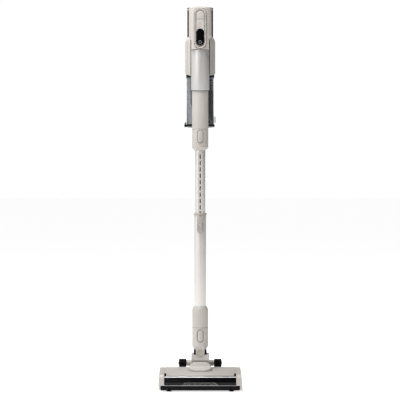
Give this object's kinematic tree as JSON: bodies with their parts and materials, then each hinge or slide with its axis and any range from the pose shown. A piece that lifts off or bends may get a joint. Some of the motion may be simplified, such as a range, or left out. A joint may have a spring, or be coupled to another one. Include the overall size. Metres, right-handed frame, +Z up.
{
  "type": "cordless stick vacuum",
  "caption": "Upright battery stick vacuum: hinged floor head with driven brush, swivelling neck, telescopic wand and lift-off hand unit with cyclone bin, filter, keys, handle and battery.",
  "frame": {"origin": "on the floor, under the middle of the object's box", "axes": "+Z up along the wand, the front of the vacuum faces -Y, +X to the right of someone who faces its front"},
  "size_m": [0.244, 0.256, 1.142],
  "materials": {
    "beige_shell": "fine-grained satin moulding",
    "warm_grey": "satin moulding",
    "silver_trim": "satin metallic paint",
    "aluminium_tube": "bright anodised",
    "steel": "turned steel",
    "motor_case": "drawn case",
    "black_plastic": "satin moulding",
    "gloss_black": "polished lens",
    "black_rubber": "moulded, grooved",
    "smoke_window": "clear smoked moulding",
    "smoke_bin": "clear smoked moulding",
    "filter_grey": "ribbed grille",
    "bristle": "nylon tufts and foam",
    "circuit_board": "solder mask"
  },
  "bodies": {
    "floor_head": {"head_base": "black_plastic", "head_shell": "beige_shell", "duct_cover": "beige_shell", "front_window": "smoke_window", "window_trim": "silver_trim", "bumper_strip": "black_rubber", "drive_belt": "black_rubber", "brush_motor": "motor_case", "rear_glide_pad": "black_rubber", "left_end_cap": "beige_shell", "right_end_cap": "beige_shell", "left_brush_bearing": "steel", "right_brush_bearing": "steel", "left_pitch_pin": "steel", "right_pitch_pin": "steel"},
    "brush_roll": {"brush_core": "black_plastic", "brush_tufts": "bristle"},
    "motor_drive": {"motor_pulley": "motor_case"},
    "left_castor": {"left_front_roller": "black_rubber"},
    "right_castor": {"right_front_roller": "black_rubber"},
    "neck": {"neck_yoke": "beige_shell", "swivel_drum": "black_plastic", "roller_axle": "steel"},
    "left_wheel": {"left_neck_roller": "black_rubber"},
    "right_wheel": {"right_neck_roller": "black_rubber"},
    "swivel": {"neck_socket": "beige_shell", "swivel_pin": "warm_grey"},
    "head_key": {"head_release_key": "beige_shell"},
    "wand": {"wand_lower_coupler": "beige_shell", "outer_tube": "aluminium_tube", "tube_collar": "silver_trim"},
    "tube_lock": {"lock_slider": "warm_grey"},
    "telescope": {"inner_tube": "aluminium_tube", "wand_upper_coupler": "beige_shell"},
    "wand_key": {"wand_release_key": "beige_shell"},
    "hand_unit": {"inlet_sleeve": "beige_shell", "pipe_cover": "silver_trim", "front_cover": "beige_shell", "panel_bezel": "beige_shell", "display_lens": "gloss_black", "control_board": "circuit_board", "motor_housing": "beige_shell", "bin_seal": "black_rubber", "motor_can": "motor_case", "handle": "beige_shell"},
    "mode_button": {"mode_key": "beige_shell"},
    "power_button": {"power_key": "beige_shell"},
    "filter_unit": {"exhaust_filter": "filter_grey", "top_cap": "black_plastic"},
    "fan": {"impeller": "motor_case"},
    "dust_bin": {"bin_cup": "smoke_bin", "lid_hinge_bracket": "black_plastic", "mesh_shroud": "steel", "cyclone_cone": "filter_grey", "foam_filter": "bristle"},
    "lid": {"bin_lid": "black_plastic"},
    "latch": {"lid_latch": "black_plastic"},
    "battery": {"battery_case": "warm_grey", "battery_cells": "motor_case"},
    "battery_catch": {"battery_latch": "beige_shell"}
  },
  "joints": [
    {"name": "neck_pitch", "type": "hinge", "parent": "floor_head", "child": "neck", "pos_m": [0, -0.04, 0.026], "axis": [-1, 0, 0], "range_deg": [0, 66]},
    {"name": "neck_swivel", "type": "hinge", "parent": "neck", "child": "swivel", "pos_m": [0, -0.05, 0.105], "axis": [0, 1, 0], "range_deg": [-40, 40]},
    {"name": "brush_spin", "type": "hinge", "parent": "floor_head", "child": "brush_roll", "pos_m": [0, -0.1, 0.025], "axis": [1, 0, 0], "continuous": true},
    {"name": "motor_spin", "type": "hinge", "parent": "floor_head", "child": "motor_drive", "pos_m": [0, -0.0515, 0.034], "axis": [1, 0, 0], "continuous": true},
    {"name": "left_castor_spin", "type": "hinge", "parent": "floor_head", "child": "left_castor", "pos_m": [-0.091, -0.1195, 0.004], "axis": [1, 0, 0], "continuous": true},
    {"name": "right_castor_spin", "type": "hinge", "parent": "floor_head", "child": "right_castor", "pos_m": [0.091, -0.1195, 0.004], "axis": [1, 0, 0], "continuous": true},
    {"name": "left_wheel_spin", "type": "hinge", "parent": "neck", "child": "left_wheel", "pos_m": [-0.053, -0.01, 0.0633], "axis": [1, 0, 0], "continuous": true},
    {"name": "right_wheel_spin", "type": "hinge", "parent": "neck", "child": "right_wheel", "pos_m": [0.053, -0.01, 0.0633], "axis": [1, 0, 0], "continuous": true},
    {"name": "head_key_press", "type": "slide", "parent": "swivel", "child": "head_key", "axis": [0, 1, 0], "range_m": [0, 0.0015], "stiffness_N_per_m": 600, "springref_m": -0.002},
    {"name": "wand_pull", "type": "slide", "parent": "swivel", "child": "wand", "axis": [0, 0, 1], "range_m": [0, 0.05]},
    {"name": "lock_slide", "type": "slide", "parent": "wand", "child": "tube_lock", "axis": [0, 0, -1], "range_m": [0, 0.006], "stiffness_N_per_m": 300, "springref_m": -0.003},
    {"name": "telescope_slide", "type": "slide", "parent": "wand", "child": "telescope", "axis": [0, 0, 1], "range_m": [-0.18, 0.06]},
    {"name": "wand_key_press", "type": "slide", "parent": "telescope", "child": "wand_key", "axis": [0, 1, 0], "range_m": [0, 0.0015], "stiffness_N_per_m": 600, "springref_m": -0.002},
    {"name": "hand_unit_pull", "type": "slide", "parent": "telescope", "child": "hand_unit", "axis": [0, 0, 1], "range_m": [0, 0.05]},
    {"name": "mode_press", "type": "slide", "parent": "hand_unit", "child": "mode_button", "axis": [0, 1, 0], "range_m": [0, 0.001], "stiffness_N_per_m": 600, "springref_m": -0.002},
    {"name": "power_press", "type": "slide", "parent": "hand_unit", "child": "power_button", "axis": [0, 1, 0], "range_m": [0, 0.001], "stiffness_N_per_m": 600, "springref_m": -0.002},
    {"name": "filter_pull", "type": "slide", "parent": "hand_unit", "child": "filter_unit", "axis": [0, 0, 1], "range_m": [0, 0.09]},
    {"name": "fan_spin", "type": "hinge", "parent": "hand_unit", "child": "fan", "pos_m": [0, 0.016, 0.98], "axis": [0, 0, 1], "continuous": true},
    {"name": "bin_slide", "type": "slide", "parent": "hand_unit", "child": "dust_bin", "axis": [0, 0, -1], "range_m": [0, 0.1]},
    {"name": "lid_hinge", "type": "hinge", "parent": "dust_bin", "child": "lid", "pos_m": [-0.0456, 0.016, 0.7834], "axis": [0, 1, 0], "range_deg": [0, 85]},
    {"name": "latch_press", "type": "slide", "parent": "dust_bin", "child": "latch", "axis": [-1, 0, 0], "range_m": [0, 0.0015], "stiffness_N_per_m": 600, "springref_m": -0.002},
    {"name": "battery_slide", "type": "slide", "parent": "hand_unit", "child": "battery", "axis": [0, 0, -1], "range_m": [0, 0.09]},
    {"name": "battery_catch_slide", "type": "slide", "parent": "battery", "child": "battery_catch", "axis": [0, 0, -1], "range_m": [0, 0.003], "stiffness_N_per_m": 600, "springref_m": -0.002}
  ],
  "couplings": [
    {"joint": "motor_spin", "follows": "brush_spin", "ratio": 2.4}
  ]
}
